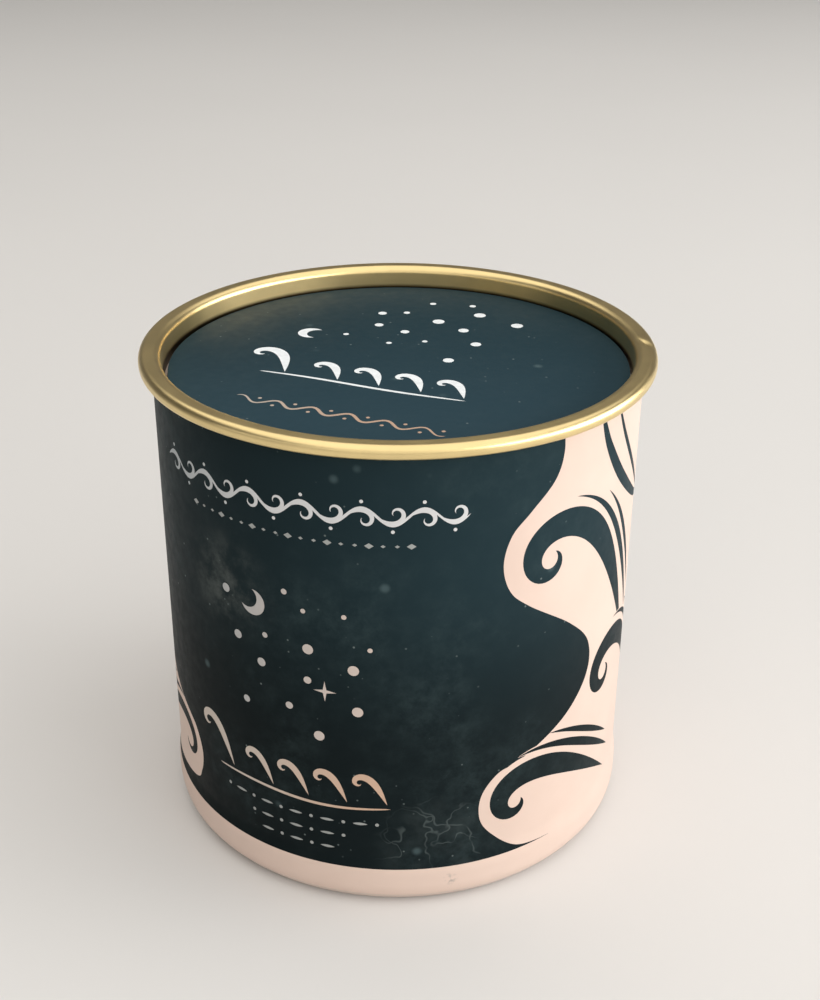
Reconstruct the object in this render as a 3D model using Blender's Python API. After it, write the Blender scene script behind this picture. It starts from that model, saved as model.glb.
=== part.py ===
"""A shut gelato cup: a straight paperboard tub in a printed wrap label, closed by a gold metal end.

Metres, +Z up. The tub stands on the floor with its axis on Z, and the origin is the centre of its foot.
Every piece is turned about Z from an outline that starts and ends on the axis, or closes on itself.
"""

import math

import bmesh
import bpy

# Driving dimensions
HEIGHT = 0.1040  # floor to the top of the seam
BODY_RADIUS = 0.0495  # outer face of the label on the straight wall
SEGMENTS = 96  # facets round each turned piece
GAP = 0.0003  # clearance between pieces that touch

# Metal end: a rolled seam, a chuck wall that drops from it, a countersink and a flat panel
SEAM_OVERHANG = 0.0026  # seam beyond the label
SEAM_WIDTH = 0.0045
SEAM_HEIGHT = 0.0027
SEAM_OUTER_CURVE = 0.0014  # rise of the seam's outer shoulder
SEAM_LOWER_CURVE = 0.0010
SEAM_INNER_CURVE = 0.0016
SHEET = 0.0006
WALL_TAPER = 0.0003  # how far the chuck wall leans in
PANEL_DEPTH = 0.0053  # top of the seam to the panel
SINK_DEPTH = 0.0010  # countersink below the panel
SINK_FLOOR = 0.0005  # width of the countersink's floor
SINK_SLOPE = 0.0006  # width of the slope from the countersink up to the panel

# Labels
LABEL = 0.00035
LID_LABEL_RADIUS = 0.0467
LID_LABEL_SHIFT = (0.00020, 0.00012)  # the disc lies a little towards the back right

# Foot: the wall swells near the floor, turns in, and stands on a narrow ring
FLARE = 0.00055
FLARE_START = 0.0125  # height where the swelling begins
FLARE_FULL = 0.0075  # height where it is complete
TURN_HEIGHT = 0.0052
TURN_WIDTH = 0.0038
LABEL_TURN = 30  # degrees of the turn that the label follows
TURN_GAP = 4  # degrees of it between the label's edge and the bare board
FOOT_WIDTH = 0.0017
FOOT_BEVEL = 0.0004
RECESS_HEIGHT = 0.0040
BASE_DISC = 0.0007

# Worked out from the above
SEAM_RADIUS = BODY_RADIUS + SEAM_OVERHANG
SEAM_INNER_RADIUS = SEAM_RADIUS - SEAM_WIDTH
SEAM_UNDERSIDE = HEIGHT - SEAM_HEIGHT
PANEL_TOP = HEIGHT - PANEL_DEPTH
PANEL_UNDERSIDE = PANEL_TOP - SHEET
SINK_TOP = PANEL_TOP - SINK_DEPTH
SINK_UNDERSIDE = SINK_TOP - SHEET
WALL_FOOT_RADIUS = SEAM_INNER_RADIUS - WALL_TAPER
PANEL_RADIUS = WALL_FOOT_RADIUS - SINK_FLOOR - SINK_SLOPE
CORE_INSET = LABEL + GAP  # from the label's outer face to the tub's wall
CORE_RADIUS = BODY_RADIUS - CORE_INSET
FOOT_RADIUS = BODY_RADIUS + FLARE - TURN_WIDTH
RECESS_RADIUS = FOOT_RADIUS - FOOT_WIDTH - FOOT_BEVEL


def arc(centre, radii, start, end, steps):
    """Points along part of an ellipse, from one angle to another in degrees."""
    angles = (math.radians(start + (end - start) * i / steps) for i in range(steps + 1))
    return [(centre[0] + radii[0] * math.cos(a), centre[1] + radii[1] * math.sin(a)) for a in angles]


def flared_wall(inset, steps=3):
    """The wall's outer side below its straight run, moved in by inset: an S-curve out to the swelling."""
    points = []
    for i in range(steps + 1):
        t = i / steps
        swell = t * t * (3 - 2 * t)
        points.append((BODY_RADIUS - inset + FLARE * swell, FLARE_START + (FLARE_FULL - FLARE_START) * t))
    return points


def turn(inset, start, end, steps):
    """Part of the wall's turn under the tub, from the wall (0) to the floor (90), moved in by inset."""
    radii = (TURN_WIDTH - inset, TURN_HEIGHT - inset)
    return arc((FOOT_RADIUS, TURN_HEIGHT), radii, -start, -end, steps)


def material(name, colour, roughness, metallic=0.0):
    made = bpy.data.materials.new(name)
    made.use_nodes = True
    shader = made.node_tree.nodes["Principled BSDF"]
    shader.inputs["Base Color"].default_value = (*colour, 1.0)
    shader.inputs["Roughness"].default_value = roughness
    shader.inputs["Metallic"].default_value = metallic
    made.diffuse_color = (*colour, 1.0)
    return made


def turned(name, outline, finish, closed=False):
    """One solid of revolution about Z from an outline of (radius, height) points."""
    bm = bmesh.new()
    corners = [bm.verts.new((radius, 0, height)) for radius, height in outline]
    ends = zip(corners, corners[1:] + corners[:1]) if closed else zip(corners, corners[1:])
    for pair in list(ends):
        bm.edges.new(pair)
    bmesh.ops.spin(
        bm,
        geom=bm.verts[:] + bm.edges[:],
        cent=(0, 0, 0),
        axis=(0, 0, 1),
        angle=math.tau,
        steps=SEGMENTS,
        use_merge=True,
    )
    bmesh.ops.remove_doubles(bm, verts=bm.verts[:], dist=1e-6)
    bmesh.ops.recalc_face_normals(bm, faces=bm.faces[:])
    mesh = bpy.data.meshes.new(name)
    bm.to_mesh(mesh)
    bm.free()
    mesh.shade_smooth()
    mesh.set_sharp_from_angle(angle=math.radians(35))
    mesh.materials.append(finish)
    made = bpy.data.objects.new(name, mesh)
    bpy.context.scene.collection.objects.link(made)
    return made


def metal_end(finish):
    """Panel, countersink, chuck wall and seam, solid behind the chuck wall where the tub's lip is gripped."""
    inner = (SEAM_INNER_RADIUS + SEAM_INNER_CURVE, HEIGHT - SEAM_INNER_CURVE)
    outer = (SEAM_RADIUS - SEAM_OUTER_CURVE, HEIGHT - SEAM_OUTER_CURVE)
    lower = (SEAM_RADIUS - SEAM_LOWER_CURVE, SEAM_UNDERSIDE + SEAM_LOWER_CURVE)
    panel = [(0, PANEL_TOP), (PANEL_RADIUS, PANEL_TOP)]
    sink = [(PANEL_RADIUS + SINK_SLOPE, SINK_TOP), (WALL_FOOT_RADIUS, SINK_TOP)]
    seam = arc(inner, (SEAM_INNER_CURVE, SEAM_INNER_CURVE), 180, 90, 5)
    seam += arc(outer, (SEAM_OUTER_CURVE, SEAM_OUTER_CURVE), 90, 0, 5)
    seam += arc(lower, (SEAM_LOWER_CURVE, SEAM_LOWER_CURVE), 0, -90, 4)
    under = [
        (CORE_RADIUS, SEAM_UNDERSIDE),
        (CORE_RADIUS, SINK_UNDERSIDE),
        (PANEL_RADIUS + SINK_SLOPE - SHEET, SINK_UNDERSIDE),
        (PANEL_RADIUS - SHEET, PANEL_UNDERSIDE),
        (0, PANEL_UNDERSIDE),
    ]
    return turned("metal_end", panel + sink + seam + under, finish)


def turn_angle(inset, height):
    """Degrees round the turn, moved in by inset, at which it is this high."""
    return math.degrees(math.asin((TURN_HEIGHT - height) / (TURN_HEIGHT - inset)))


def tub_body(finish):
    """The shut tub, solid, with a step under the end's countersink."""
    step_radius = PANEL_RADIUS - SHEET - GAP
    top = [
        (0, PANEL_UNDERSIDE - GAP),
        (step_radius, PANEL_UNDERSIDE - GAP),
        (step_radius, SINK_UNDERSIDE - GAP),
        (CORE_RADIUS, SINK_UNDERSIDE - GAP),
    ]
    wall = flared_wall(CORE_INSET) + turn(CORE_INSET, 0, turn_angle(CORE_INSET, RECESS_HEIGHT), 2)
    return turned("tub_body", top + wall + [(0, RECESS_HEIGHT)], finish)


def foot_ring(finish):
    """The rolled edge of the wall that the tub stands on. Its upper part is under the label."""
    top = RECESS_HEIGHT - GAP
    covered = turn(CORE_INSET, turn_angle(CORE_INSET, top), LABEL_TURN, 2)
    bare = turn(0, LABEL_TURN + TURN_GAP, 90, 5)
    inside = [
        (RECESS_RADIUS + FOOT_BEVEL, 0),
        (RECESS_RADIUS, FOOT_BEVEL),
        (RECESS_RADIUS, top),
    ]
    return turned("foot_ring", covered + bare + inside, finish, closed=True)


def wrap_label(finish):
    """The printed sleeve, from under the seam down to the rolled edge of the foot."""
    top = SEAM_UNDERSIDE - GAP
    outside = [(BODY_RADIUS, top)] + flared_wall(0) + turn(0, 0, LABEL_TURN, 2)
    inside = [(BODY_RADIUS - LABEL, top)] + flared_wall(LABEL) + turn(LABEL, 0, LABEL_TURN, 2)
    return turned("wrap_label", outside + inside[::-1], finish, closed=True)


def disc(name, radius, bottom, thickness, finish):
    """A flat card or paper disc."""
    outline = [(0, bottom + thickness), (radius, bottom + thickness), (radius, bottom), (0, bottom)]
    return turned(name, outline, finish)


def build():
    for old in list(bpy.data.objects):
        bpy.data.objects.remove(old, do_unlink=True)
    board = material("cream_board", (0.72, 0.60, 0.52), 0.62)
    print_paper = material("night_print", (0.022, 0.040, 0.050), 0.42)
    gold = material("gold_lacquer", (0.74, 0.57, 0.27), 0.28, metallic=1.0)

    tub_body(board)
    foot_ring(board)
    disc("base_disc", RECESS_RADIUS - GAP, RECESS_HEIGHT - GAP - BASE_DISC, BASE_DISC, board)
    wrap_label(print_paper)
    metal_end(gold)
    lid = disc("lid_label", LID_LABEL_RADIUS, PANEL_TOP + GAP, LABEL, print_paper)
    lid.location.xy = LID_LABEL_SHIFT


build()
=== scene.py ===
"""The looks of the shut gelato cup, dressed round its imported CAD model.

Sizes are in millimetres and become metres in place(). The front of the print faces -Y. On the wrap label a
place is (u, v): u runs round the wall from the middle of the front, to the viewer's right, and v is the height
above the floor. On the lid label it is (x, y) from the middle of the disc.
"""

import math

import bpy
import numpy as np
from mathutils import Matrix, Vector
from mathutils.geometry import delaunay_2d_cdt


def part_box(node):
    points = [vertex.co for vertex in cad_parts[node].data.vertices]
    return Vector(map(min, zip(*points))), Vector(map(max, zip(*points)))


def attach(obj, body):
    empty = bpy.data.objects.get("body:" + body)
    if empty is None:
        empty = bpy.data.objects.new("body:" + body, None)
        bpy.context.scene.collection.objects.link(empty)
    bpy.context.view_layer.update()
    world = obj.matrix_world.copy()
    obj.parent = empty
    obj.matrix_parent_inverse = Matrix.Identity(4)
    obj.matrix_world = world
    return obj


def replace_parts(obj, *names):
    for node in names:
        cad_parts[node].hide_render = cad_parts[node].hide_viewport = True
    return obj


MM = 0.001

# Camera, fitted to the photograph's frame of 820 x 1000
FOCAL_LENGTH = 51.5
SENSOR = 36.0
CAMERA_TARGET = (2.59, 0.0, 67.6)
CAMERA_DISTANCE = 306.0
CAMERA_ELEVATION = 26.97
CAMERA_ROLL = 0.395

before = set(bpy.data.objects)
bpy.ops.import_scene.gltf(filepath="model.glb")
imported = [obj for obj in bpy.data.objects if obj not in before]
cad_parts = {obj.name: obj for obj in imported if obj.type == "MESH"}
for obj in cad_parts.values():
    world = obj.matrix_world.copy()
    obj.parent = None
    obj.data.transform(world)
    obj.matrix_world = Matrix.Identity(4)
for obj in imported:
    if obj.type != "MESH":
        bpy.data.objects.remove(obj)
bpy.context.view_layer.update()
wrap_low, wrap_high = (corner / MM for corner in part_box("wrap_label"))
end_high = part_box("metal_end")[1] / MM
lid_low, lid_high = (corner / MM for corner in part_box("lid_label"))
body_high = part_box("tub_body")[1] / MM

# Sizes read from the frame
HEIGHT = end_high.z
SEAM_RADIUS = end_high.x
LABEL_TOP = wrap_high.z
LABEL_FOOT = wrap_low.z
SWELL_RADIUS = wrap_high.x
LID_CENTRE = ((lid_low.x + lid_high.x) / 2, (lid_low.y + lid_high.y) / 2)
LID_RADIUS = (lid_high.x - lid_low.x) / 2
LID_TOP = lid_high.z

# Wall and foot
WALL_RADIUS = 49.5
FLARE_START = 12.5
FLARE_FULL = 7.5
TURN_HEIGHT = 5.2
TURN_WIDTH = 3.8
FOOT_RADIUS = SWELL_RADIUS - TURN_WIDTH
FOOT_WIDTH = 1.7
FOOT_BEVEL = 0.4
RECESS_HEIGHT = 4.0
TUB_INSET = 0.5  # from the label's outer face to the tub's wall at the top
FACETS = 288  # facets round a turned piece
SHARP_ANGLE = 35

# Labels
PAPER = 0.13  # thickness of both labels
PAPER_PLAY = 0.02  # between the wrap label and the tub
LAP = 5.0  # the wrap label's end lies over its start, at the back
LAP_RISE = 0.16
LAP_BENDS = (1.2, 0.9, 0.6, 0.3)  # cuts before the middle of the back that let the label bend
LAP_RAMP = 0.9  # run from the first of them over which the label rises to the lap
WALL_COLUMNS = 72  # columns of facets in half a turn of the label
LAP_COLUMNS = 2

# Metal end
SEAM_WIDTH = 4.5
SEAM_HEIGHT = 2.7
SEAM_OUTER_CURVE = 1.4
SEAM_LOWER_CURVE = 1.0
SEAM_INNER_CURVE = 1.6
WALL_TAPER = 0.3
WALL_LEAN_HEIGHT = 1.6  # height above the countersink where the chuck wall's lean has mostly gone
PANEL_DEPTH = 5.3
PANEL_EASE = (0.3, 0.1)  # how the panel's edge is eased, across and down
SINK_DEPTH = 1.0
SINK_FLOOR = 0.5
SINK_SLOPE = 0.6
SINK_EASE = 0.15
SHEET = 0.25
WAVINESS = 0.035
WAVINESS_RUN = 2.5  # run over which the seam's unevenness begins

# Dent in the seam's crown, a short streak askew to the seam
DENT_ANGLE = 89.3
DENT_RADIUS = 50.0
DENT_SLANT = -0.4
DENT_LENGTH = 2.0
DENT_WIDTH = 0.6
DENT_DEPTH = 0.4
DENT_FLOOR = 1.2  # below the seam's top, where the dent ends
DENT_REACH = 6.8  # degrees to either side of it with fine facets
DENT_STEP = 0.25
SEAM_STEP = 1.25

# Inks of the print. A layer is (outline, ink), and later layers lie over earlier ones
CREAM, NIGHT, PALE, COPPER, GREY, SILVER = range(6)

# Breaking waves: angle and height where the line starts, heading, length, first bend, last curl and width
WAVE_FAR = (124, 47, 110, 76, 0.003, 0.44, 5.4)
WAVE_RIGHT = (72, 43, 112, 74, 0.003, 0.46, 6.0)
WAVE_FAR_LOW = (96, 16, 119, 66, 0.004, 0.50, 5.2)
WAVE_LOW = (65, 14, 143, 51, 0.006, 0.56, 5.6)
WAVE_LEFT = (-97, 13, 38, 47, -0.005, -0.56, 3.2)
WAVE_PEAK = 0.6  # where along its line a wave is widest
WAVE_EDGE = 3.0  # width that a wave's cream edge adds
STRAND_EDGE = 1.6
STRANDS = ((0.04, 0.66, 2.0, 2.0), (0.12, 0.55, 4.8, 1.5))  # start and end along the wave, gap, width
FALLING_HEIGHTS = (102, 94, 85, 77, 72)
FALLING_STRANDS = (((50, 54, 62, 74, 88), 2.6), ((57, 62, 70, 79, 88), 1.3))  # angles at those heights, width
BAND_TOP = 9.4  # the plain band at the foot

# Small marks, by angle and height, and ornaments, by place on their label
MOON_BACK = (-106, 40)
DOTS_BACK = ((-113, 47, 0.9), (-104, 52, 0.7), (-112, 33, 0.6), (-108, 60, 1.0), (-114, 66, 0.6))  # and radius
DOT_RADII = (1.1, 0.6, 0.8, 0.5, 0.95)
STARS_CENTRE = (-20.0, 58.5)
TITLE_CENTRE = (-20.0, 89.3)
LOZENGES_CENTRE = (TITLE_CENTRE[0], TITLE_CENTRE[1] - 5.9)
EMBLEM_START = (-40.5, 25.4)
RULES_CENTRE = (-20.5, 20.4)
LID_STARS_CENTRE = (7.0, 20.0)
LID_DOT_SCALE = 1.2
LID_TITLE_TILT = -20.5
LID_TITLE_START = (-27.5, -4.5)
LID_LINE_TILT = -23.2
LID_LINE_CENTRE = (-11.2, -27.6)
RIPPLE_PITCH = 7.6
RIPPLE_RISE = 1.2
SPLINE_STEP = 0.8

# The wrap's texture map: the front in the upper half, and the two ends at the back in the lower half
FRONT_SPAN = 115  # degrees to either side of the front that count as front
MAP_FRONT = 0.53
MAP_BACK = 0.06
MAP_RISE = 0.46

# Colours
CREAM_COLOUR = (0.69, 0.54, 0.463)
CREAM_SHADE = (0.66, 0.51, 0.434)
RUB_COLOUR = (0.30, 0.265, 0.24)
EDGE_COLOUR = (0.86, 0.80, 0.72)
EDGE_SHADE = (0.82, 0.76, 0.68)
BOARD_COLOUR = (0.64, 0.52, 0.455)
BOARD_SHADE = (0.58, 0.47, 0.41)
NIGHT_COLOUR = (0.012, 0.028, 0.036)
WRAP_RIGHT = ((0.0068, 0.0122, 0.0140), (0.0140, 0.0300, 0.0370))  # low and high on the wall
# painted shade: the wrap's night is darker towards the left
WRAP_LEFT = ((0.0036, 0.0070, 0.0078), (0.0072, 0.0155, 0.0185))
# painted light and shade on the lid's night: paler at the front, darker at the back left
LID_BACK = ((0.0120, 0.0295, 0.0390), (0.0158, 0.0375, 0.0490))  # at the left and the right
LID_FRONT = (0.0240, 0.0515, 0.0690)
WRAP_HAZE = (0.075, 0.115, 0.12)
LID_HAZE = (0.06, 0.09, 0.10)
CLOUD_COLOUR = (0.086, 0.098, 0.094)
WISP_COLOUR = (0.13, 0.16, 0.16)
SPECK_COLOUR = (0.30, 0.36, 0.36)
GLOW_COLOUR = (0.10, 0.15, 0.16)
LID_INK = (0.82, 0.86, 0.89)
GREY_INK = (0.32, 0.335, 0.33)
# painted shade: the pale ink is darker at the left
PALE_INK = ((0.33, 0.365, 0.38), (0.60, 0.605, 0.615))  # at the left and the right
COPPER_INK = ((0.56, 0.49, 0.43), (0.60, 0.41, 0.30))
SILVER_INK = ((0.38, 0.40, 0.41), (0.56, 0.47, 0.42))
GOLD = (0.83, 0.655, 0.325)
# painted shade down in the groove round the lid label
GROOVE_PAINTED_SHADE = (0.05, 0.038, 0.02)
FLOOR_COLOURS = ((0.67, 0.66, 0.65), (0.71, 0.70, 0.69))

# Places on the wall, by angle and height
RUB_PLACE = (13, 6.2)
CLOUD_PLACE = (-41, 69)
WISP_PLACE = (10, 15)

# Stage
FLOOR_REACH = 3000
WORLD_COLOUR = (1.0, 0.98, 0.95)
WORLD_STRENGTH = 0.06
HORIZON_STRENGTH = 0.2
HORIZON = (0.12, 0.33)  # sine of the heights between which the horizon's light fades
LIGHT_AIM = (0, 0, 50)


def place(point):
    return Vector(point) * MM


def smoothstep(t):
    t = min(max(t, 0.0), 1.0)
    return t * t * (3 - 2 * t)


def on_wall(angle, height):
    """The place on the wrap at an angle in degrees round from the front."""
    return (math.radians(angle) * WALL_RADIUS, height)


def wall_point(angle, height):
    """A point on the wall, in space."""
    a = math.radians(angle)
    return (WALL_RADIUS * math.sin(a), -WALL_RADIUS * math.cos(a), height)


# Lines and outlines for the print


def spline(points):
    """A smooth line through points."""
    line = []
    last = len(points) - 1
    for i in range(last):
        a, b, c, d = (points[min(max(i + k, 0), last)] for k in (-1, 0, 1, 2))
        pieces = max(2, math.ceil(math.dist(b, c) / SPLINE_STEP))
        for k in range(pieces):
            t = k / pieces
            before, after = -t + 2 * t**2 - t**3, t**3 - t**2
            weights = (before, 2 - 5 * t**2 + 3 * t**3, t + 4 * t**2 - 3 * t**3, after)
            line.append(tuple(sum(w * p[n] for w, p in zip(weights, (a, b, c, d))) / 2 for n in (0, 1)))
    line.append(points[-1])
    return line


def scroll(start, heading, length, bend, curl, power=4, step=0.6):
    """A line whose curvature grows from bend to curl, both in radians a millimetre."""
    line = [start]
    x, y = start
    steps = max(8, round(length / step))
    angle = math.radians(heading)
    run = length / steps
    for i in range(steps):
        turn = (bend + (curl - bend) * ((i + 0.5) / steps) ** power) * run
        angle += turn / 2
        x += math.cos(angle) * run
        y += math.sin(angle) * run
        angle += turn / 2
        line.append((x, y))
    return line


def sideways(line):
    """The unit vector to the left of a line at each of its points."""
    last = len(line) - 1
    vectors = []
    for i in range(last + 1):
        (ax, ay), (bx, by) = line[max(i - 1, 0)], line[min(i + 1, last)]
        run = math.hypot(bx - ax, by - ay)
        vectors.append(((ay - by) / run, (bx - ax) / run))
    return vectors


def offset(line, distance):
    """The line moved sideways, to its left."""
    return [(x + sx * distance, y + sy * distance) for (x, y), (sx, sy) in zip(line, sideways(line))]


def part(line, start, end):
    """The stretch of a line between two shares of its length."""
    last = len(line) - 1
    return line[round(start * last) : round(end * last) + 1]


def ribbon(line, width, peak=0.5, blunt=0.8):
    """The outline of a stroke along a line, widest at peak of its length and pointed at both ends."""
    last = len(line) - 1
    skew = math.log(0.5) / math.log(peak)
    halves = [width / 2 * abs(math.sin(math.pi * (i / last) ** skew)) ** blunt for i in range(last + 1)]
    left = [(x + sx * h, y + sy * h) for (x, y), (sx, sy), h in zip(line, sideways(line), halves)]
    right = [(x - sx * h, y - sy * h) for (x, y), (sx, sy), h in zip(line, sideways(line), halves)]
    return [line[0]] + left[1:-1] + [line[-1]] + right[-2:0:-1]


def tilted(outline, degrees, to):
    """An outline drawn about (0, 0), turned and moved to its place."""
    turn = Matrix.Rotation(math.radians(degrees), 2)
    return [tuple(turn @ Vector(p) + Vector(to)) for p in outline]


def around(centre, radius, angles):
    """Points on a circle, at angles in degrees."""
    return [
        (centre[0] + radius * math.cos(math.radians(a)), centre[1] + radius * math.sin(math.radians(a)))
        for a in angles
    ]


def dot(x, y, radius, corners=16):
    return [
        (x + radius * math.cos(math.tau * i / corners), y + radius * math.sin(math.tau * i / corners))
        for i in range(corners)
    ]


def star(x, y, radius):
    """A four-pointed sparkle."""
    outline = []
    for i in range(8):
        reach = radius if i % 2 == 0 else radius * 0.22
        angle = math.pi * i / 4
        outline.append((x + reach * math.sin(angle), y + reach * math.cos(angle)))
    return outline


def crescent(x, y, radius, tilt):
    """A moon that is full towards tilt. Its horns are 125 degrees to either side of that."""
    horn = math.radians(125)
    centre = -0.55 * radius
    tip = (radius * math.cos(horn), radius * math.sin(horn))
    inner = math.hypot(tip[0] - centre, tip[1])
    reach = math.atan2(tip[1], tip[0] - centre)
    outline = [(radius * math.cos(a), radius * math.sin(a)) for a in np.linspace(horn, -horn, 30)]
    hollow = np.linspace(-reach, reach, 26)[1:-1]
    outline += [(centre + inner * math.cos(a), inner * math.sin(a)) for a in hollow]
    return tilted(outline, tilt, (x, y))


def lozenge(x, y, width, height):
    return [(x - width / 2, y), (x, y - height / 2), (x + width / 2, y), (x, y + height / 2)]


def scattered(count, centre, reach, start=0.4):
    """Places strewn over an ellipse, each a golden angle on from the last."""
    places = []
    for i in range(count):
        angle = start + i * math.pi * (3 - math.sqrt(5))
        far = math.sqrt((i + 0.6) / count) * (1 + 0.16 * math.sin(2.7 * i))
        places.append((centre[0] + reach[0] * far * math.cos(angle), centre[1] + reach[1] * far * math.sin(angle)))
    return places


# Ornaments


def wave(angle, height, heading, length, bend, curl, width):
    """A curling crest with two strands behind it. A cream edge parts it from what it lies over."""
    line = scroll(on_wall(angle, height), heading, length, bend, curl)
    side = math.copysign(1, -curl)
    layers = [(ribbon(line, width + WAVE_EDGE, WAVE_PEAK), CREAM)]
    for start, end, gap, strand in STRANDS:
        path = offset(part(line, start, end), side * (width / 2 + gap))
        layers.append((ribbon(path, strand + STRAND_EDGE), CREAM))
        layers.append((ribbon(path, strand), NIGHT))
    return layers + [(ribbon(line, width, WAVE_PEAK), NIGHT)]


def night_field():
    """The dark sky on the front. Its sides pass round the crests of three waves."""
    crests = (WAVE_RIGHT, WAVE_LOW, WAVE_LEFT)
    eyes = [scroll(on_wall(*crest[:2]), *crest[2:6])[-1] for crest in crests]
    right = [on_wall(a, h) for a, h in ((37, 104), (38, 98), (36, 92.5))]
    right += around(eyes[0], 11.6, (122, 150, 180, 210, 240))
    right += [on_wall(a, h) for a, h in ((43, 59.5), (50.5, 52.5), (51, 45), (44, 38))]
    right += around(eyes[1], 9.6, (92, 125, 160, 195, 228))
    right += [on_wall(a, h) for a, h in ((30, 10.4), (40, BAND_TOP))]
    left = [on_wall(a, h) for a, h in ((-92, BAND_TOP), (-78, 10.8))]
    left += around(eyes[2], 8.8, (-62, -30, 5, 40, 72))
    left += [on_wall(a, h) for a, h in ((-80, 36), (-89, 44), (-95, 56), (-97, 70))]
    left += [on_wall(a, h) for a, h in ((-100, 84), (-108, 95), (-112, 104))]
    return spline(right) + spline(left)


def fiddlehead(foot, height, width):
    """A stroke that rises from its foot and curls over to the left."""
    line = scroll(foot, 112, 1.72 * height, 0.13 / height, 13 / height, 3.2, 0.05 * height)
    return ribbon(line, width, 0.55)


def crest_row(pitch, height, width):
    """A tall curling crest and four lower ones along x, over a fine line. They start at (0, 0)."""
    outlines = [fiddlehead((0.62 * height, 0), 1.45 * height, 1.3 * width)]
    outlines += [fiddlehead((0.95 * height + pitch * i, 0), height, width) for i in range(1, 5)]
    end = 1.05 * height + 4 * pitch
    sea = [(x, -0.16 * height + 0.04 * height * math.sin(7 * x / end)) for x in np.linspace(0, end, 40)]
    return outlines + [ribbon(sea, 0.42 * width, 0.5, 0.35)]


def vine(centre, turns, pitch, rise, width):
    """A waving stem with a curl in each bend and a dot outside it."""
    x0, y0 = centre
    half = turns * pitch / 2
    reach = np.linspace(x0 - half, x0 + half, 24 * turns)
    stem = [(x, y0 + rise * math.sin(math.tau * (x - x0) / pitch)) for x in reach]
    outlines = [ribbon(stem, 0.7 * width, 0.5, 0.25)]
    lean = math.degrees(math.atan(math.tau * rise / pitch))
    for i in range(2 * turns):
        up = 1 if i % 2 == 0 else -1
        start = (x0 - half + i * pitch / 2, y0)
        curl = scroll(start, up * lean, 0.86 * pitch, -up * 2.0 / pitch, -up * 15.5 / pitch, 1.6, 0.2)
        outlines.append(ribbon(curl, width, 0.45))
        outlines.append(dot(start[0] + pitch / 4, y0 + up * (rise + 1.25), 0.36, 10))
    return outlines


def lozenge_row(centre, count, pitch):
    """Small lozenges in a row, each third one larger."""
    outlines = []
    for i in range(-count, count + 1):
        size = 1.15 if i % 3 == 0 else 0.62
        outlines.append(lozenge(centre[0] + pitch * i, centre[1], size * 1.5, size))
    return outlines


def fine_rules(centre, pitch=3.4):
    """Three short rows of dashes and dots."""
    outlines = []
    for row, half in enumerate((5, 3, 2)):
        y = centre[1] - pitch * row
        for i in range(-half, half + 1):
            x = centre[0] + pitch * i
            if i % 2 == 0:
                outlines.append(ribbon([(x + 0.3 * k, y) for k in range(-5, 6)], 0.62))
            else:
                outlines.append(dot(x, y, 0.4, 10))
    return outlines


# The print


def inked(outlines, ink):
    return [(outline, ink) for outline in outlines]


def back_waves():
    """Two rows of waves round the back, drawn at both ends of the sheet, which meet there."""
    layers = []
    for turn in (-360, 0):
        for i in range(3):
            layers += wave(turn + 163 + 38 * i, 53 + 6 * (i % 2), 115, 60, 0.004, 0.50, 4.4)
        for i in range(4):
            length = 66 - 9 * (i == 3)
            layers += wave(turn + 134 + 37 * i, 14 + 5 * (i % 2), 125, length, 0.004, 0.48, 4.6)
    return layers


def flank_waves():
    """The right flank's waves, from the back forwards, two strands that fall among them, and the left wave."""
    layers = wave(*WAVE_FAR)
    for angles, width in FALLING_STRANDS:
        strand = spline([on_wall(a, h) for a, h in zip(angles, FALLING_HEIGHTS)])
        layers.append((ribbon(strand, width, 0.4), NIGHT))
    for crest in (WAVE_RIGHT, WAVE_FAR_LOW, WAVE_LOW, WAVE_LEFT):
        layers += wave(*crest)
    return layers


def back_marks():
    """A moon and a few dots on the bare cream past the left wave."""
    dots = [dot(*on_wall(angle, height), radius) for angle, height, radius in DOTS_BACK]
    return inked([crescent(*on_wall(*MOON_BACK), 3.8, 150)] + dots, NIGHT)


def front_ornaments():
    """Strewn dots with a sparkle and a moon, a vine over a row of lozenges, and crests over fine rows."""
    spots = scattered(16, STARS_CENTRE, (18.5, 18))
    sky = [dot(x, y, DOT_RADII[i % len(DOT_RADII)]) for i, (x, y) in enumerate(spots)]
    sky.append(star(STARS_CENTRE[0] + 6.5, STARS_CENTRE[1] - 7.5, 2.3))
    sky.append(crescent(STARS_CENTRE[0] - 8.5, STARS_CENTRE[1] + 8.5, 2.8, -35))
    layers = inked(sky, SILVER)
    layers += inked(vine(TITLE_CENTRE, 6, 11.2, 1.7, 0.85), PALE)
    layers += inked(lozenge_row(LOZENGES_CENTRE, 9, 2.55), GREY)
    layers += inked([tilted(outline, 0, EMBLEM_START) for outline in crest_row(8.0, 7.4, 1.55)], COPPER)
    return layers + inked(fine_rules(RULES_CENTRE), GREY)


def wrap_layers():
    return [(night_field(), NIGHT)] + back_waves() + flank_waves() + back_marks() + front_ornaments()


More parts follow.
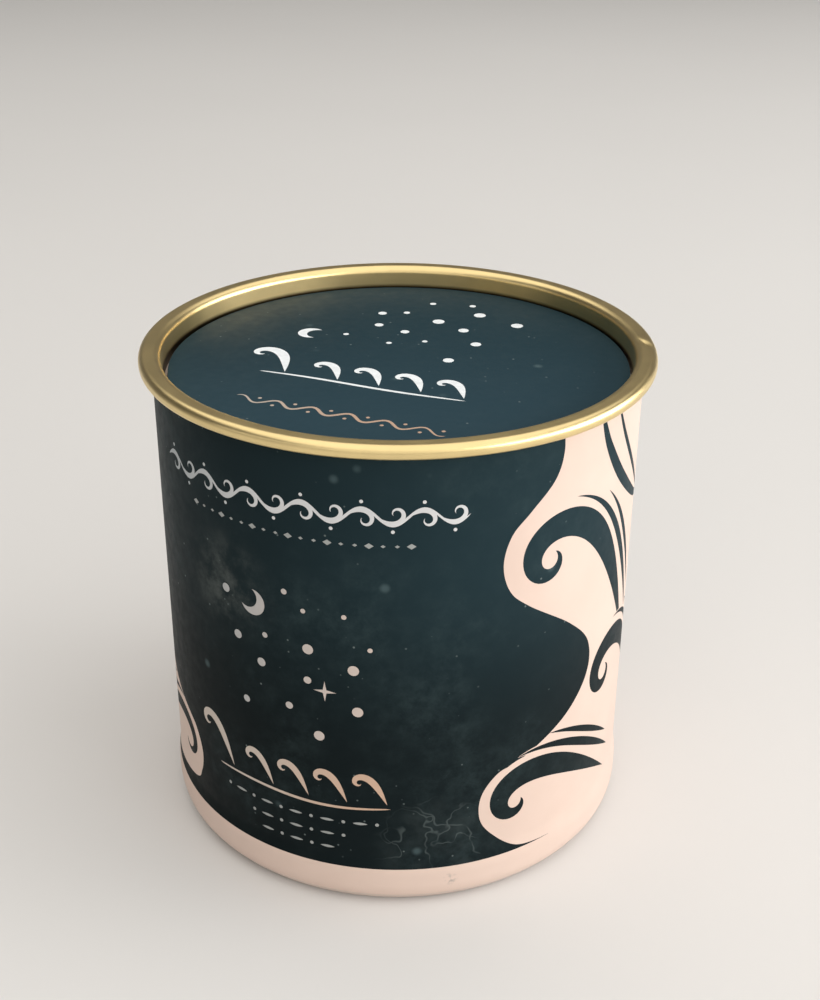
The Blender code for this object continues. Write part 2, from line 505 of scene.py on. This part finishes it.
def lid_layers():
    """Night all over, with strewn dots and a moon, a row of crests and a fine ripple with dots."""
    spots = scattered(15, LID_STARS_CENTRE, (19, 19), 1.2)
    radii = [LID_DOT_SCALE * DOT_RADII[(2 * i) % len(DOT_RADII)] for i in range(len(spots))]
    sky = [dot(x, y, radius) for (x, y), radius in zip(spots, radii)]
    sky.append(crescent(LID_STARS_CENTRE[0] - 26, LID_STARS_CENTRE[1] - 4, 2.8, 160))
    crests = [tilted(outline, LID_TITLE_TILT, LID_TITLE_START) for outline in crest_row(8.8, 8.0, 1.9)]
    ripple = [(x, RIPPLE_RISE * math.sin(math.tau * x / RIPPLE_PITCH)) for x in np.linspace(-22, 22, 120)]
    line = [ribbon(ripple, 0.7, 0.5, 0.3)]
    line += [dot(RIPPLE_PITCH * i / 2 + RIPPLE_PITCH / 4, -1.1 * (-1) ** i, 0.4, 10) for i in range(-5, 6)]
    layers = [(dot(0, 0, LID_RADIUS + 1, 64), NIGHT)] + inked(sky + crests, PALE)
    return layers + inked([tilted(outline, LID_LINE_TILT, LID_LINE_CENTRE) for outline in line], COPPER)


# Meshes


def cut_sheet(domain, lines, layers):
    """Cuts a flat sheet along lines and outlines. Returns points, triangles and the ink of each triangle."""
    points, edges, faces = [], [], []

    def add(outline):
        area = sum(a[0] * b[1] - b[0] * a[1] for a, b in zip(outline, outline[1:] + outline[:1]))
        start = len(points)
        points.extend(Vector(p) for p in (outline if area > 0 else outline[::-1]))
        faces.append(list(range(start, len(points))))

    add(domain)
    for line in lines:
        start = len(points)
        points.extend(Vector(p) for p in line)
        edges.append((start, start + 1))
    for outline, _ in layers:
        add(outline)
    inks = [CREAM] + [ink for _, ink in layers]
    flat, _, triangles, _, _, sources = delaunay_2d_cdt(points, edges, faces, 1, 1e-5, True)
    kept = [(t, inks[max(s)]) for t, s in zip(triangles, sources) if 0 in s]
    return np.array([tuple(p) for p in flat]), np.array([t for t, _ in kept]), [ink for _, ink in kept]


def mesh_object(name, points, faces, finishes, finish_of_face=None, normals=None, maps=None):
    """An object that rides on the cup. Normals and maps hold one entry for each corner of each face."""
    mesh = bpy.data.meshes.new(name)
    mesh.from_pydata([tuple(place(p)) for p in points], [], [list(map(int, f)) for f in faces])
    for finish in finishes:
        mesh.materials.append(finish)
    if finish_of_face is not None:
        mesh.polygons.foreach_set("material_index", finish_of_face)
    if maps is not None:
        layer = mesh.uv_layers.new(name="OFBake")
        layer.data.foreach_set("uv", np.asarray(maps, dtype=float).ravel())
    mesh.shade_smooth()
    mesh.update()
    if normals is not None:
        mesh.normals_split_custom_set([tuple(n) for n in normals])
    made = bpy.data.objects.new(name, mesh)
    bpy.context.scene.collection.objects.link(made)
    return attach(made, "root")


def back_map(spot, lift=0):
    """Where the unseen side of a sheet goes on its map: a strip along the bottom."""
    return (spot[0], 0.005 + 0.035 * spot[1] + 0.004 * lift)


def printed_sheet(name, domain, lines, layers, surface, uv, finishes, edge_finish):
    """A thin closed sheet with print on its outer face.

    surface(p) gives the point and normal of a flat place, and uv(corners) the map places of a triangle.
    """
    flat, triangles, inks = cut_sheet(domain, lines, layers)
    count = len(flat)
    outer, normals = (np.array(rows) for rows in zip(*(surface(p) for p in flat)))
    spots = np.array([uv(corners) for corners in flat[triangles]])
    edges = dict.fromkeys((a, b) for t in triangles for a, b in zip(t, np.roll(t, -1)))
    rim = [(a, b) for a, b in edges if (b, a) not in edges]
    faces = [list(t) for t in triangles] + [list(t[::-1] + count) for t in triangles]
    faces += [[b, a, a + count, b + count] for a, b in rim]
    corner_normals = list(normals[triangles].reshape(-1, 3))
    corner_normals += list(-normals[triangles[:, ::-1]].reshape(-1, 3))
    maps = list(spots.reshape(-1, 2))
    maps += [back_map(p) for p in spots[:, ::-1].reshape(-1, 2)]
    for a, b in rim:
        side = np.cross(outer[b] - outer[a], normals[a])
        corner_normals += [side / np.linalg.norm(side)] * 4
        ends = [uv(np.array([flat[i]] * 3))[0] for i in (b, a)]
        maps += [back_map(ends[i], lift) for i, lift in ((0, 0), (1, 0), (1, 1), (0, 1))]
    points = np.vstack([outer, outer - normals * PAPER])
    finish_of_face = inks + [len(finishes)] * (len(faces) - len(inks))
    return mesh_object(name, points, faces, finishes + [edge_finish], finish_of_face, corner_normals, maps)


def turned(name, outline, finish, angles=None, shape=None):
    """A solid of revolution about Z from (radius, height) points that start and end on the axis.

    shape(angle, radius, height) moves each point of it.
    """
    if angles is None:
        angles = [360 * i / FACETS for i in range(FACETS)]
    points, rows, faces = [], [], []
    for radius, height in outline:
        start = len(points)
        if radius < 1e-6:
            points.append((0, 0, height))
            rows.append([start] * len(angles))
            continue
        for angle in angles:
            r, z = shape(angle, radius, height) if shape else (radius, height)
            points.append((r * math.sin(math.radians(angle)), -r * math.cos(math.radians(angle)), z))
        rows.append(list(range(start, len(points))))
    for a, b in zip(rows, rows[1:]):
        for i in range(len(angles)):
            k = (i + 1) % len(angles)
            corners = list(dict.fromkeys((a[i], a[k], b[k], b[i])))
            faces.append(corners[::-1])
    made = mesh_object(name, points, faces, [finish])
    made.data.set_sharp_from_angle(angle=math.radians(SHARP_ANGLE))
    return made


def arc(centre, radii, start, end, steps):
    """Points along part of an ellipse, from one angle to another in degrees."""
    angles = np.radians(np.linspace(start, end, steps + 1))
    return [(centre[0] + radii[0] * math.cos(a), centre[1] + radii[1] * math.sin(a)) for a in angles]


# Wrap label


def wall_radius(height):
    """The label's outer face: straight, then a slight swelling, then the start of the turn under the tub."""
    if height >= TURN_HEIGHT:
        swell = smoothstep((FLARE_START - height) / (FLARE_START - FLARE_FULL))
        return WALL_RADIUS + (SWELL_RADIUS - WALL_RADIUS) * swell
    return FOOT_RADIUS + TURN_WIDTH * math.sqrt(1 - ((TURN_HEIGHT - height) / TURN_HEIGHT) ** 2)


def wrap_surface(p):
    u, height = float(p[0]), float(p[1])
    angle = u / WALL_RADIUS
    half = math.pi * WALL_RADIUS
    radius = wall_radius(height) + LAP_RISE * smoothstep((u - half + LAP_BENDS[0]) / LAP_RAMP)
    slope = (wall_radius(height + 0.05) - wall_radius(height - 0.05)) / 0.1
    across = np.array((math.sin(angle), -math.cos(angle), 0.0))
    normal = across - np.array((0, 0, slope))
    return across * radius + np.array((0, 0, height)), normal / np.linalg.norm(normal)


def wrap_uv(corners):
    reach = math.radians(FRONT_SPAN) * WALL_RADIUS
    middle = corners[:, 0].mean()
    across, base = corners[:, 0] + reach, MAP_FRONT
    if middle > reach:
        across, base = corners[:, 0] - reach, MAP_BACK
    elif middle < -reach:
        across, base = corners[:, 0] + math.pi * WALL_RADIUS + 0.7 * reach, MAP_BACK
    rise = (corners[:, 1] - LABEL_FOOT) / (LABEL_TOP - LABEL_FOOT)
    return np.column_stack([0.01 + 0.98 * across / (2 * reach), base + MAP_RISE * rise])


def wrap_label(finishes, edge_finish):
    """The printed paper round the wall, cut into columns and, where the wall bends, into rows."""
    half = math.pi * WALL_RADIUS
    low, high = LABEL_FOOT, LABEL_TOP
    domain = [(-half, low), (half + LAP, low), (half + LAP, high), (-half, high)]
    column = half / WALL_COLUMNS
    uprights = [-half + column * i for i in range(1, 2 * WALL_COLUMNS + LAP_COLUMNS + 1)]
    lines = [((u, low), (u, high)) for u in uprights]
    heights = list(np.linspace(low, FLARE_START, 16)[1:]) + list(np.arange(22, high - 2, 9.5))
    lines += [((-half, h), (half + LAP, h)) for h in heights]
    lines += [((half - bend, low), (half - bend, high)) for bend in LAP_BENDS]
    layers = wrap_layers()
    sheet = printed_sheet("wrap_paper", domain, lines, layers, wrap_surface, wrap_uv, finishes, edge_finish)
    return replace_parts(sheet, "wrap_label")


# Lid label


def lid_surface(p):
    x, y = float(p[0]), float(p[1])
    return np.array((x + LID_CENTRE[0], y + LID_CENTRE[1], LID_TOP)), np.array((0.0, 0.0, 1.0))


def lid_uv(corners):
    share = (corners + LID_RADIUS) / (2 * LID_RADIUS)
    return np.column_stack([0.02 + 0.96 * share[:, 0], 0.06 + 0.93 * share[:, 1]])


def lid_label(finishes, edge_finish):
    """The printed paper disc on the panel."""
    domain = dot(0, 0, LID_RADIUS, 192)
    sheet = printed_sheet("lid_paper", domain, [], lid_layers(), lid_surface, lid_uv, finishes, edge_finish)
    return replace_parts(sheet, "lid_label")


# Metal end and tub


def seam_shape(angle, radius, height):
    """The seam as rolled: not quite round or level, with a small dent in its crown on the right."""
    share = smoothstep((radius - (SEAM_RADIUS - SEAM_WIDTH)) / WAVINESS_RUN)
    a = math.radians(angle)
    inward = 1.0 + 0.6 * math.sin(3 * a + 1.0) + 0.3 * math.sin(8 * a)
    down = 1.0 + 0.5 * math.sin(2 * a + 0.4) + 0.3 * math.sin(7 * a + 2.0)
    along = math.radians(angle - DENT_ANGLE) * DENT_RADIUS
    across = radius - DENT_RADIUS - DENT_SLANT * along
    dent = DENT_DEPTH * math.exp(-((along / DENT_LENGTH) ** 2) - (across / DENT_WIDTH) ** 2)
    if height < HEIGHT - DENT_FLOOR:
        dent = 0
    return radius - WAVINESS * share * inward, height - WAVINESS * share * down - dent


def seam_angles():
    """Angles round the seam in degrees, with small steps at the dent."""
    fine = np.arange(DENT_ANGLE - DENT_REACH, DENT_ANGLE + DENT_REACH + 0.1, DENT_STEP)
    before = np.arange(0, fine[0] - 0.2, SEAM_STEP)
    after = np.arange(fine[-1] + 1, 359.2, SEAM_STEP)
    return [*before, *fine, *after]


def metal_end(finish):
    """The gold end: panel, countersink, chuck wall and rolled seam."""
    inner_radius = SEAM_RADIUS - SEAM_WIDTH
    wall_foot = inner_radius - WALL_TAPER
    panel_top = HEIGHT - PANEL_DEPTH
    sink_top = panel_top - SINK_DEPTH
    panel_radius = wall_foot - SINK_FLOOR - SINK_SLOPE
    underside = HEIGHT - SEAM_HEIGHT
    inner = (inner_radius + SEAM_INNER_CURVE, HEIGHT - SEAM_INNER_CURVE)
    outer = (SEAM_RADIUS - SEAM_OUTER_CURVE, HEIGHT - SEAM_OUTER_CURVE)
    lower = (SEAM_RADIUS - SEAM_LOWER_CURVE, underside + SEAM_LOWER_CURVE)
    outline = [(0, panel_top), (panel_radius - PANEL_EASE[0], panel_top)]
    outline += [(panel_radius, panel_top - PANEL_EASE[1]), (panel_radius + SINK_SLOPE, sink_top + 0.05)]
    outline += [(wall_foot - SINK_EASE, sink_top), (wall_foot, sink_top + SINK_EASE)]
    outline += [(wall_foot + WALL_TAPER * 0.4, sink_top + WALL_LEAN_HEIGHT)]
    outline += arc(inner, (SEAM_INNER_CURVE, SEAM_INNER_CURVE), 180, 90, 12)
    outline += [(radius, HEIGHT) for radius in np.linspace(inner[0], outer[0], 6)[1:-1]]
    outline += arc(outer, (SEAM_OUTER_CURVE, SEAM_OUTER_CURVE), 90, 0, 12)
    outline += arc(lower, (SEAM_LOWER_CURVE, SEAM_LOWER_CURVE), 0, -90, 9)
    outline += [(WALL_RADIUS - 0.2, underside), (WALL_RADIUS - 0.2, sink_top - SHEET)]
    outline += [(panel_radius, sink_top - SHEET), (panel_radius - SHEET, panel_top - SHEET)]
    outline += [(0, panel_top - SHEET)]
    end = turned("gold_end", outline, finish, seam_angles(), seam_shape)
    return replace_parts(end, "metal_end")


def tub(finish):
    """The board tub: its wall is under the label, and its rolled edge shows below it."""
    recess = FOOT_RADIUS - FOOT_WIDTH - FOOT_BEVEL
    outline = [(0, body_high.z), (WALL_RADIUS - TUB_INSET, body_high.z)]
    flare = np.linspace(FLARE_START, TURN_HEIGHT, 10)
    outline += [(wall_radius(height) - PAPER - PAPER_PLAY, height) for height in flare]
    outline += arc((FOOT_RADIUS, TURN_HEIGHT), (TURN_WIDTH - PAPER, TURN_HEIGHT), 0, -90, 18)
    outline += [(recess + FOOT_BEVEL, 0), (recess, FOOT_BEVEL), (recess, RECESS_HEIGHT), (0, RECESS_HEIGHT)]
    board = turned("board_tub", outline, finish)
    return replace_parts(board, "tub_body", "foot_ring")


# Finishes


class Shader:
    """A material with a Principled shader. Constants go straight on its sockets."""

    def __init__(self, name, colour, roughness, metallic=0.0, **constants):
        self.material = bpy.data.materials.new(name)
        self.material.use_nodes = True
        self.tree = self.material.node_tree
        self.surface = self.tree.nodes["Principled BSDF"]
        self.surface.inputs["Base Color"].default_value = (*colour, 1)
        self.surface.inputs["Roughness"].default_value = roughness
        self.surface.inputs["Metallic"].default_value = metallic
        for socket, value in constants.items():
            self.surface.inputs[socket.replace("_", " ")].default_value = value
        self.place = self.node("ShaderNodeTexCoord").outputs["Object"]

    def node(self, kind, inputs=None, **settings):
        """A new node. Its inputs are linked where they are sockets, and set where they are values."""
        made = self.tree.nodes.new(kind)
        for setting, value in settings.items():
            setattr(made, setting, value)
        for socket, value in (inputs or {}).items():
            if isinstance(value, bpy.types.NodeSocket):
                self.tree.links.new(value, made.inputs[socket])
            else:
                made.inputs[socket].default_value = value
        return made

    def feed(self, socket, output):
        self.tree.links.new(output, self.surface.inputs[socket])

    def noise(self, scale, detail=3.0, roughness=0.5):
        inputs = {"Vector": self.place, "Scale": scale, "Detail": detail, "Roughness": roughness}
        return self.node("ShaderNodeTexNoise", inputs).outputs["Fac"]

    def remap(self, value, low, high, to_low=0.0, to_high=1.0):
        """Goes smoothly from to_low, where the value is low, to to_high, where it is high."""
        inputs = {"Value": value, "From Min": low, "From Max": high, "To Min": to_low, "To Max": to_high}
        return self.node("ShaderNodeMapRange", inputs, interpolation_type="SMOOTHSTEP").outputs["Result"]

    def along(self, axis, start, end, to_low=0.0, to_high=1.0):
        """Goes from to_low to to_high between two places along an axis, in millimetres."""
        where = self.node("ShaderNodeSeparateXYZ", {0: self.place}).outputs[axis]
        return self.remap(where, start * MM, end * MM, to_low, to_high)

    def near(self, point, inner, outer):
        """1 within inner of a point and 0 beyond outer, in millimetres."""
        inputs = {0: self.place, 1: tuple(place(point))}
        far = self.node("ShaderNodeVectorMath", inputs, operation="DISTANCE").outputs["Value"]
        return self.remap(far, inner * MM, outer * MM, 1, 0)

    def math(self, operation, a, b=0.0):
        return self.node("ShaderNodeMath", {0: a, 1: b}, operation=operation).outputs[0]

    def mix(self, factor, a, b):
        """Blends two colours, each a socket or an RGB triple."""
        colours = [c if isinstance(c, bpy.types.NodeSocket) else (*c, 1) for c in (a, b)]
        inputs = {0: factor, 6: colours[0], 7: colours[1]}
        return self.node("ShaderNodeMix", inputs, data_type="RGBA").outputs[2]

    def grain(self, strength):
        """The fine grain of paper and print."""
        inputs = {"Height": self.noise(2600, 3), "Strength": strength, "Distance": 0.05 * MM}
        self.feed("Normal", self.node("ShaderNodeBump", inputs).outputs["Normal"])


def blotched(s, shade, colour):
    """Soft blotches of two near colours, as paper and board have."""
    return s.mix(s.remap(s.noise(60, 4), 0.3, 0.7), shade, colour)


def paper_finish(name, shade, colour):
    s = Shader(name, colour, 0.5)
    s.feed("Base Color", blotched(s, shade, colour))
    s.grain(0.12)
    return s.material


def cream_finish():
    """The label's bare paper, rubbed at one place low on the front."""
    s = Shader("cream_paper_finish", CREAM_COLOUR, 0.5)
    patchy = s.remap(s.noise(1300, 3), 0.45, 0.65)
    rubbed = s.math("MULTIPLY", s.near(wall_point(*RUB_PLACE), 0.3, 2.0), patchy)
    paper = blotched(s, CREAM_SHADE, CREAM_COLOUR)
    s.feed("Base Color", s.mix(s.math("MULTIPLY", rubbed, 0.8), paper, RUB_COLOUR))
    s.grain(0.12)
    return s.material


def haze(s, colour, tint, amount):
    """Nebulous haze over a colour."""
    wide = s.remap(s.noise(30, 7, 0.62), 0.40, 0.75)
    fine = s.remap(s.noise(260, 5, 0.72), 0.30, 0.80)
    return s.mix(s.math("MULTIPLY", s.math("MULTIPLY", wide, fine), amount), colour, tint)


def cloud(s, colour, middle):
    """A pale grey cloud over a colour, round a point."""
    bright = s.math("MULTIPLY", s.near(middle, 1, 14), s.remap(s.noise(150, 6, 0.66), 0.36, 0.74))
    return s.mix(s.math("MULTIPLY", bright, 0.9), colour, CLOUD_COLOUR)


def wisps(s, colour, middle):
    """Thin wavering lines and a faint veil over a colour, round a point."""
    fields = (s.noise(scale, 3, 0.45) for scale in (72, 98))
    veins = [s.remap(s.math("ABSOLUTE", s.math("SUBTRACT", f, 0.5)), 0.0, 0.012, 1, 0) for f in fields]
    vein = s.math("MULTIPLY", s.math("MAXIMUM", *veins), s.remap(s.noise(190, 2), 0.38, 0.56))
    veil = s.remap(s.noise(140, 5, 0.6), 0.35, 0.75, 0, 0.35)
    thin = s.math("MULTIPLY", s.math("ADD", vein, veil), s.near(middle, 6, 14))
    return s.mix(s.math("MULTIPLY", thin, 0.36), colour, WISP_COLOUR)


def specks(s, colour, tint, scale, inner, outer, spread, rarest, most):
    """Round specks over a colour, full within inner of a cell's middle and gone at outer.

    spread deals the cells a random share, and those above rarest show, up to most.
    """
    cells = s.node("ShaderNodeTexVoronoi", {"Vector": s.place, "Scale": scale})
    shape = s.remap(cells.outputs["Distance"], inner, outer, 1, 0)
    share = s.math("FRACT", s.math("MULTIPLY", cells.outputs["Color"], spread))
    return s.mix(s.math("MULTIPLY", shape, s.remap(share, rarest, 1.0, 0, most)), colour, tint)


def night_finish(name, shade, haze_colour, haze_amount, details=()):
    """Night print: haze, fine specks and soft glows over the colour that shade(shader) gives.

    details are functions that paint something more, each with its place on the wall.
    """
    s = Shader(name, NIGHT_COLOUR, 0.45, Specular_IOR_Level=0.04)
    colour = haze(s, shade(s), haze_colour, haze_amount)
    for detail, middle in details:
        colour = detail(s, colour, wall_point(*middle))
    colour = specks(s, colour, SPECK_COLOUR, 420.0, 0.05, 0.12, 7.0, 0.62, 0.4)
    s.feed("Base Color", specks(s, colour, GLOW_COLOUR, 150.0, 0.03, 0.20, 5.0, 0.70, 0.5))
    s.feed("Roughness", s.remap(s.noise(500, 2), 0.2, 0.8, 0.40, 0.50))
    s.grain(0.1)
    return s.material


def wrap_painted_shade(s):
    """The wrap's night is greyer and darker towards the floor, and darker to the left, which is painted shade."""
    rise = s.along("Z", 34, 80)
    return s.mix(s.along("X", -42, 16), s.mix(rise, *WRAP_LEFT), s.mix(rise, *WRAP_RIGHT))


def lid_painted_light_and_shade(s):
    """The lid's night is paler towards the front, which is painted light, and darkest at the back left, which is
    painted shade.
    """
    return s.mix(s.along("Y", -45, 30), LID_FRONT, s.mix(s.along("X", -45, 5), *LID_BACK))


def ink_finish(name, colour):
    """Ink of one colour, with faint mottling."""
    s = Shader(name, colour, 0.5)
    s.feed("Base Color", s.mix(s.remap(s.noise(700, 3), 0.3, 0.7), [0.9 * c for c in colour], colour))
    s.grain(0.1)
    return s.material


def side_ink(name, start, end, left, right, roughness=0.5, metallic=0.0):
    """Ink that changes from one colour to another between two places along X, in millimetres."""
    s = Shader(name, right, roughness, metallic)
    s.feed("Base Color", s.mix(s.along("X", start, end), left, right))
    s.grain(0.1)
    return s.material


def gold_finish():
    """Gold lacquer, a little smoother on the chuck wall, with painted shade down in the groove round the lid
    label.
    """
    s = Shader("gold_lacquer_finish", GOLD, 0.22, 1.0)
    # painted shade: the gold turns dark below the lid label's top, in the groove
    lit = s.along("Z", LID_TOP - 0.1, LID_TOP + 0.9)
    clean = s.mix(s.remap(s.noise(90, 5, 0.6), 0.35, 0.7), [0.93 * c for c in GOLD], GOLD)
    s.feed("Base Color", s.mix(lit, GROOVE_PAINTED_SHADE, clean))
    satin = s.along("Z", HEIGHT - 3.4, HEIGHT - 2.2, 0.31, 0.33)
    s.feed("Roughness", s.math("ADD", satin, s.remap(s.noise(250, 3), 0.3, 0.7, -0.015, 0.015)))
    return s.material


def floor_finish():
    s = Shader("floor_finish", (0.68, 0.67, 0.66), 0.7)
    s.feed("Base Color", s.mix(s.noise(3, 3), *FLOOR_COLOURS))
    return s.material


# Stage


def add_floor():
    reach = FLOOR_REACH
    corners = [(-reach, -reach, 0), (reach, -reach, 0), (reach, reach, 0), (-reach, reach, 0)]
    mesh = bpy.data.meshes.new("floor")
    mesh.from_pydata([place(c) for c in corners], [], [(0, 1, 2, 3)])
    mesh.materials.append(floor_finish())
    floor = bpy.data.objects.new("floor", mesh)
    bpy.context.scene.collection.objects.link(floor)


def add_world():
    """A dim studio that is brighter near the horizon."""
    world = bpy.data.worlds.new("studio")
    world.use_nodes = True
    tree = world.node_tree
    sky = tree.nodes["Background"]
    sky.inputs["Color"].default_value = (*WORLD_COLOUR, 1)
    way = tree.nodes.new("ShaderNodeTexCoord").outputs["Generated"]
    axes = tree.nodes.new("ShaderNodeSeparateXYZ")
    level = tree.nodes.new("ShaderNodeMath")
    level.operation = "ABSOLUTE"
    fade = tree.nodes.new("ShaderNodeMapRange")
    fade.interpolation_type = "SMOOTHSTEP"
    fade.inputs["From Min"].default_value, fade.inputs["From Max"].default_value = HORIZON
    fade.inputs["To Min"].default_value = HORIZON_STRENGTH
    fade.inputs["To Max"].default_value = WORLD_STRENGTH
    tree.links.new(way, axes.inputs[0])
    tree.links.new(axes.outputs["Z"], level.inputs[0])
    tree.links.new(level.outputs[0], fade.inputs["Value"])
    tree.links.new(fade.outputs["Result"], sky.inputs["Strength"])
    bpy.context.scene.world = world


def area_light(name, azimuth, elevation, distance, size, radiance, colour, aim=LIGHT_AIM, spread=180):
    """A softbox that shines at aim. Azimuth 0 is on the viewer's side and 90 on the viewer's right.

    Its size is across and along, and spread is the width of its beam in degrees.
    """
    a, e = math.radians(azimuth), math.radians(elevation)
    data = bpy.data.lights.new(name, "AREA")
    data.spread = math.radians(spread)
    data.shape = "RECTANGLE"
    data.size, data.size_y = (s * MM for s in size)
    data.energy = radiance * math.pi * data.size * data.size_y
    data.color = colour
    lamp = bpy.data.objects.new(name, data)
    way = Vector((math.sin(a) * math.cos(e), -math.cos(a) * math.cos(e), math.sin(e)))
    lamp.location = place(Vector(aim) + way * distance)
    lamp.rotation_mode = "QUATERNION"
    lamp.rotation_quaternion = (-way).to_track_quat("-Z", "Y")
    bpy.context.scene.collection.objects.link(lamp)


def add_lights():
    """The ceiling, a front light and a fill for the ring's glints, a side light, and one near the top right."""
    area_light("ceiling", 0, 89.9, 1300, (2400, 3300), 1.35, (1.0, 0.97, 0.92), aim=(0, -120, 50))
    area_light("front", 11, 20, 1600, (2500, 840), 1.02, (1.0, 0.96, 0.9))
    area_light("fill", -54, 17, 1600, (1500, 420), 0.9, (1.0, 0.97, 0.93))
    area_light("side", 78, 20, 1500, (2400, 800), 3.8, (1.0, 0.985, 0.97))
    area_light("near", 88, 12, 260, (200, 100), 0.5, (1.0, 0.99, 0.98), aim=(46, -10, 92), spread=50)


def set_camera():
    elevation, roll = math.radians(CAMERA_ELEVATION), math.radians(CAMERA_ROLL)
    back = Vector((0, -math.cos(elevation), math.sin(elevation)))
    level = Vector((1, 0, 0))
    up = back.cross(level)
    right = level * math.cos(roll) + up * math.sin(roll)
    data = bpy.data.cameras.new("camera")
    data.lens = FOCAL_LENGTH
    data.sensor_width = SENSOR
    data.clip_start = 0.01
    camera = bpy.data.objects.new("camera", data)
    turn = Matrix((right, back.cross(right), back)).transposed().to_4x4()
    camera.matrix_world = Matrix.Translation(place(Vector(CAMERA_TARGET) + back * CAMERA_DISTANCE)) @ turn
    bpy.context.scene.collection.objects.link(camera)
    bpy.context.scene.camera = camera
    bpy.context.scene.view_settings.view_transform = "Standard"


cream = cream_finish()
white = paper_finish("paper_edge_finish", EDGE_SHADE, EDGE_COLOUR)
board = paper_finish("cream_board_finish", BOARD_SHADE, BOARD_COLOUR)
painted = ((cloud, CLOUD_PLACE), (wisps, WISP_PLACE))
night = night_finish("night_print_finish", wrap_painted_shade, WRAP_HAZE, 0.30, painted)
lid_night = night_finish("lid_print_finish", lid_painted_light_and_shade, LID_HAZE, 0.2)
# the pale ink's darker left is painted shade
pale = side_ink("pale_ink_finish", -49, -20, *PALE_INK)
lid_pale = ink_finish("lid_ink_finish", LID_INK)
copper = side_ink("copper_ink_finish", -34, -4, *COPPER_INK, 0.4, 0.3)
grey = ink_finish("grey_ink_finish", GREY_INK)
silver = side_ink("silver_ink_finish", -40, -5, *SILVER_INK)
gold = gold_finish()

wrap_label([cream, night, pale, copper, grey, silver], white)
lid_label([cream, lid_night, lid_pale, copper], white)
metal_end(gold)
tub(board)
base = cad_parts["base_disc"]
base.data.materials.clear()
base.data.materials.append(board)
add_floor()
add_world()
add_lights()
set_camera()
